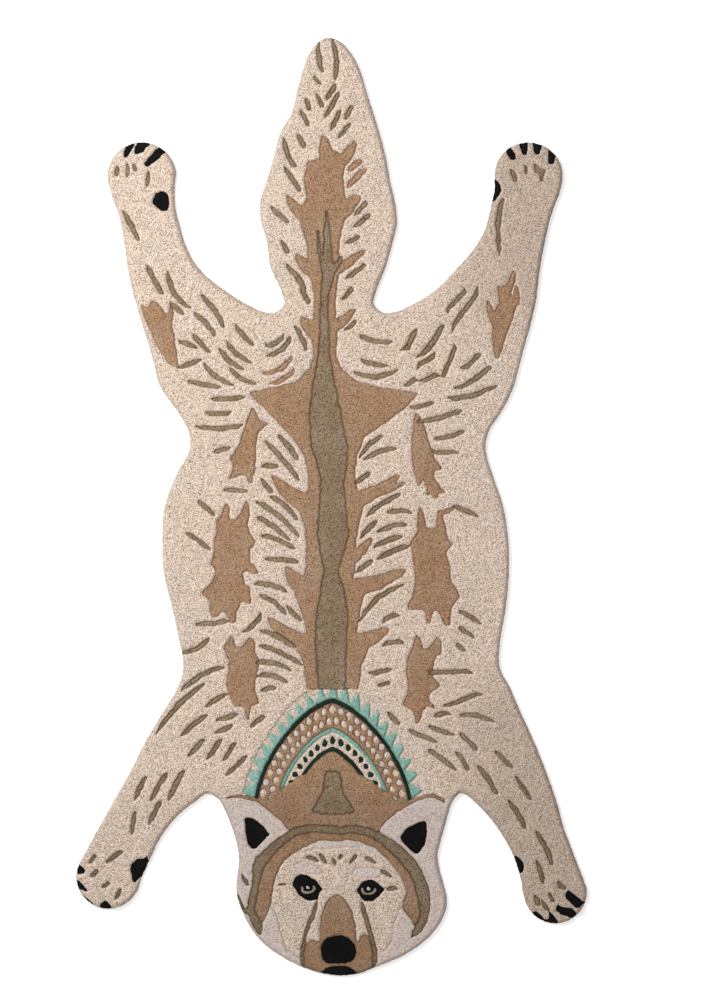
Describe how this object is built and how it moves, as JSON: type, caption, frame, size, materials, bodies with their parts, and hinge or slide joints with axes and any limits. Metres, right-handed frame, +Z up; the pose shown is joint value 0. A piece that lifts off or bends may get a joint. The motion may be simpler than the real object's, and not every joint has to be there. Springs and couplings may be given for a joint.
{
  "type": "animal hide shaped floor rug",
  "caption": "Flat tufted pile rug in the outline of a spread animal hide, with tail, legs and head, and coat marks carved lower in the pile",
  "frame": {"origin": "middle of the rug's outer length and width, on the underside that lies on the floor", "axes": "+Y towards the tip of the tail, along the longest extent; +X towards the right legs seen from above; +Z up, out of the pile"},
  "size_m": [0.8697, 1.5997, 0.015],
  "materials": {
    "fur_pile": "dense cut and looped cream yarn pile, matt, uneven by a few millimetres",
    "rose_pile": "smooth sheared pale rose yarn pile, matt",
    "tan_pile": "dense sheared tan yarn pile, matt",
    "olive_pile": "dense low sheared olive brown yarn pile, matt",
    "black_pile": "dense sheared black yarn pile, matt",
    "mint_pile": "dense sheared mint yarn pile, matt",
    "green_pile": "dense sheared dark green yarn pile, matt",
    "honey_pile": "dense sheared honey yarn pile, matt",
    "backing_cloth": "plain woven undyed cotton, glued flat"
  },
  "bodies": {
    "root": {"rug": "fur_pile"}
  },
  "joints": []
}
